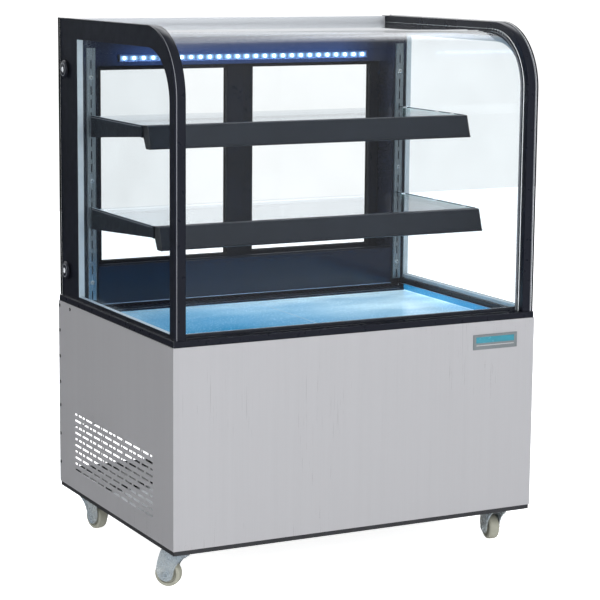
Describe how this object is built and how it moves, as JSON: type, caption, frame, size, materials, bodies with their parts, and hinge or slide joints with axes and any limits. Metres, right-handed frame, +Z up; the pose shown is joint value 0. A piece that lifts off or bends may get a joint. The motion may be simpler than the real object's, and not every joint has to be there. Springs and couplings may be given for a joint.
{
  "type": "glass display showcase",
  "caption": "Refrigerated curved-front glass display counter on castors, with lit shelves, steel cabinet and rear sliding doors.",
  "frame": {"origin": "centre of the footprint, on the floor", "axes": "+Z up; -Y towards the customer (curved glass front), +Y towards the service side (sliding doors); +X to the right seen from the customer side"},
  "size_m": [0.91, 0.675, 1.215],
  "materials": {
    "black_steel": "semi-gloss black powder coat",
    "galvanised": "matt galvanised, faint spangle",
    "zinc": "bright zinc plate",
    "nylon": "aged grey-cream nylon",
    "stainless": "brushed stainless, vertical grain",
    "black_wire": "satin",
    "black_screw": "blackened",
    "badge": "satin, blank two-tone",
    "white_liner": "satin white liner over foam",
    "deck_white": "gloss white enamel lit cold blue",
    "black_gloss": "gloss black",
    "black_enamel": "gloss black enamel",
    "rubber": "matt",
    "fin_aluminium": "finned, dull",
    "fan_aluminium": "pressed blades",
    "copper": "drawn copper, lightly oxidised",
    "black_plastic": "moulded",
    "grey_plastic": "moulded",
    "white_plastic": "moulded",
    "black_frame": "gloss blue-black",
    "glass": "clear tempered, faint cool tint",
    "grey_aluminium": "anodised",
    "slotted_steel": "satin",
    "dark_bracket": "satin blue-black",
    "led_channel": "anodised, lit"
  },
  "bodies": {
    "root": {"base_frame": "black_steel", "base_plate": "galvanised", "corner_posts": "black_steel", "castor_plates": "zinc", "castor_bolts": "zinc", "front_panel": "stainless", "side_panel_left": "stainless", "side_panel_right": "stainless", "rear_panel": "stainless", "rear_grille": "black_wire", "panel_screws": "black_screw", "badge_plate": "badge", "insulated_well": "white_liner", "deck_tray": "deck_white", "air_riser": "black_gloss", "compressor": "black_enamel", "compressor_grommets": "rubber", "condenser_coil": "fin_aluminium", "condenser_shroud": "black_steel", "condenser_fan_motor": "black_enamel", "refrigerant_pipes": "copper", "condensate_pan": "black_plastic", "electrical_box": "grey_plastic", "evaporator_coil": "fin_aluminium", "evaporator_fan_motor": "black_enamel", "glass_base_frame": "black_frame", "side_glass_left": "glass", "side_glass_right": "glass", "front_glass": "glass", "edge_trims": "black_frame", "rear_frame": "black_frame", "door_tracks": "grey_aluminium", "shelf_uprights": "slotted_steel", "shelf_brackets": "dark_bracket", "shelf_glass": "glass", "shelf_profiles": "dark_bracket", "led_strip": "led_channel", "glass_fixing_caps": "black_frame", "temperature_controller": "black_plastic", "rocker_housing": "black_plastic", "cable_gland": "black_plastic"},
    "castor_swivel_fl": {"castor_fork_fl": "zinc", "castor_axle_fl": "zinc"},
    "castor_roller_fl": {"castor_wheel_fl": "nylon"},
    "castor_swivel_fr": {"castor_fork_fr": "zinc", "castor_axle_fr": "zinc"},
    "castor_roller_fr": {"castor_wheel_fr": "nylon"},
    "castor_swivel_rl": {"castor_fork_rl": "zinc", "castor_axle_rl": "zinc"},
    "castor_roller_rl": {"castor_wheel_rl": "nylon"},
    "castor_swivel_rr": {"castor_fork_rr": "zinc", "castor_axle_rr": "zinc"},
    "castor_roller_rr": {"castor_wheel_rr": "nylon"},
    "door_left": {"door_left_frame": "black_frame", "door_left_glass": "glass"},
    "door_right": {"door_right_frame": "black_frame", "door_right_glass": "glass"},
    "switch_rocker": {"light_rocker": "black_plastic"},
    "condenser_fan": {"condenser_fan_blade": "fan_aluminium"},
    "evaporator_fan": {"evaporator_fan_blade": "white_plastic"}
  },
  "joints": [
    {"name": "castor_swivel_joint_fl", "type": "hinge", "parent": "root", "child": "castor_swivel_fl", "pos_m": [-0.405, -0.27, 0.084], "axis": [0, 0, 1], "continuous": true},
    {"name": "castor_roll_joint_fl", "type": "hinge", "parent": "castor_swivel_fl", "child": "castor_roller_fl", "pos_m": [-0.42658, -0.24916, 0.029], "axis": [-0.6947, -0.7193, 0], "continuous": true},
    {"name": "castor_swivel_joint_fr", "type": "hinge", "parent": "root", "child": "castor_swivel_fr", "pos_m": [0.405, -0.27, 0.084], "axis": [0, 0, 1], "continuous": true},
    {"name": "castor_roll_joint_fr", "type": "hinge", "parent": "castor_swivel_fr", "child": "castor_roller_fr", "pos_m": [0.41021, -0.24046, 0.029], "axis": [-0.9848, 0.1736, 0], "continuous": true},
    {"name": "castor_swivel_joint_rl", "type": "hinge", "parent": "root", "child": "castor_swivel_rl", "pos_m": [-0.405, 0.27, 0.084], "axis": [0, 0, 1], "continuous": true},
    {"name": "castor_roll_joint_rl", "type": "hinge", "parent": "castor_swivel_rl", "child": "castor_roller_rl", "pos_m": [-0.39774, 0.24089, 0.029], "axis": [0.9703, 0.2419, 0], "continuous": true},
    {"name": "castor_swivel_joint_rr", "type": "hinge", "parent": "root", "child": "castor_swivel_rr", "pos_m": [0.405, 0.27, 0.084], "axis": [0, 0, 1], "continuous": true},
    {"name": "castor_roll_joint_rr", "type": "hinge", "parent": "castor_swivel_rr", "child": "castor_roller_rr", "pos_m": [0.37781, 0.25732, 0.029], "axis": [0.4226, -0.9063, 0], "continuous": true},
    {"name": "door_left_slide", "type": "slide", "parent": "root", "child": "door_left", "axis": [1, 0, 0], "range_m": [0, 0.375]},
    {"name": "door_right_slide", "type": "slide", "parent": "root", "child": "door_right", "axis": [1, 0, 0], "range_m": [-0.375, 0]},
    {"name": "light_rocker_tilt", "type": "hinge", "parent": "root", "child": "switch_rocker", "pos_m": [-0.182, 0.33, 0.366], "axis": [1, 0, 0], "range_deg": [-7, 7]},
    {"name": "condenser_fan_spin", "type": "hinge", "parent": "root", "child": "condenser_fan", "pos_m": [0.316, 0, 0.245], "axis": [1, 0, 0], "continuous": true},
    {"name": "evaporator_fan_spin", "type": "hinge", "parent": "root", "child": "evaporator_fan", "pos_m": [0, 0.056, 0.472], "axis": [0, 1, 0], "continuous": true}
  ]
}
